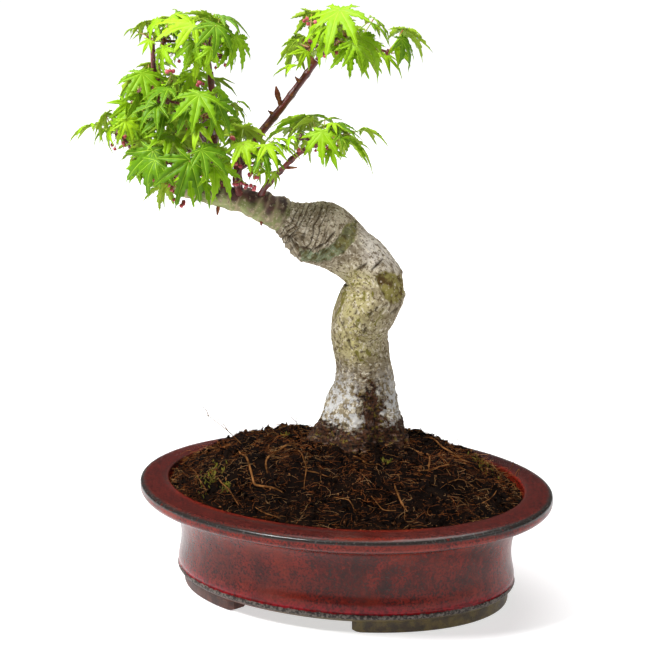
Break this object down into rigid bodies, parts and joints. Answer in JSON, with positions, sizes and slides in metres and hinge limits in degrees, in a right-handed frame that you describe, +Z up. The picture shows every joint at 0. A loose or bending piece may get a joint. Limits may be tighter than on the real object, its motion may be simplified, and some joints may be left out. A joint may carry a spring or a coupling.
{
  "type": "potted bonsai maple",
  "caption": "Bonsai Japanese maple: a bent trunk, a leaning limb and red shoots with fresh spring leaves, in a mound of soil in an oval glazed pot on low feet.",
  "frame": {"origin": "on the level ground that the pot's feet stand on, under the middle of the object's outer box", "axes": "+X along the pot's long axis, towards the side that the trunk's elbow bends to; +Y to the back of the tree; +Z up"},
  "size_m": [0.2416, 0.183, 0.3039],
  "materials": {
    "pot": "dark red glaze",
    "soil": "loose dark potting soil",
    "bark": "pale rough bark",
    "green_bark": "grey-green bark",
    "red_bark": "smooth dark red bark",
    "leaf": "fresh spring leaves"
  },
  "bodies": {
    "root": {"pot": "pot", "soil": "soil", "trunk": "bark", "main_limb": "green_bark", "upright_shoot": "red_bark", "inner_branch": "red_bark", "left_branch": "red_bark", "front_branch": "red_bark", "centre_branch": "red_bark", "back_branch": "red_bark", "fork_twig": "red_bark", "long_shoot": "red_bark", "low_shoot": "red_bark", "leaves_right_top": "leaf", "leaves_right_low": "leaf", "leaves_top": "leaf", "leaves_top_left": "leaf", "leaves_left_high": "leaf", "leaves_front": "leaf", "leaves_centre": "leaf", "leaves_left_low": "leaf", "leaves_fork": "leaf", "leaves_back": "leaf"}
  },
  "joints": []
}
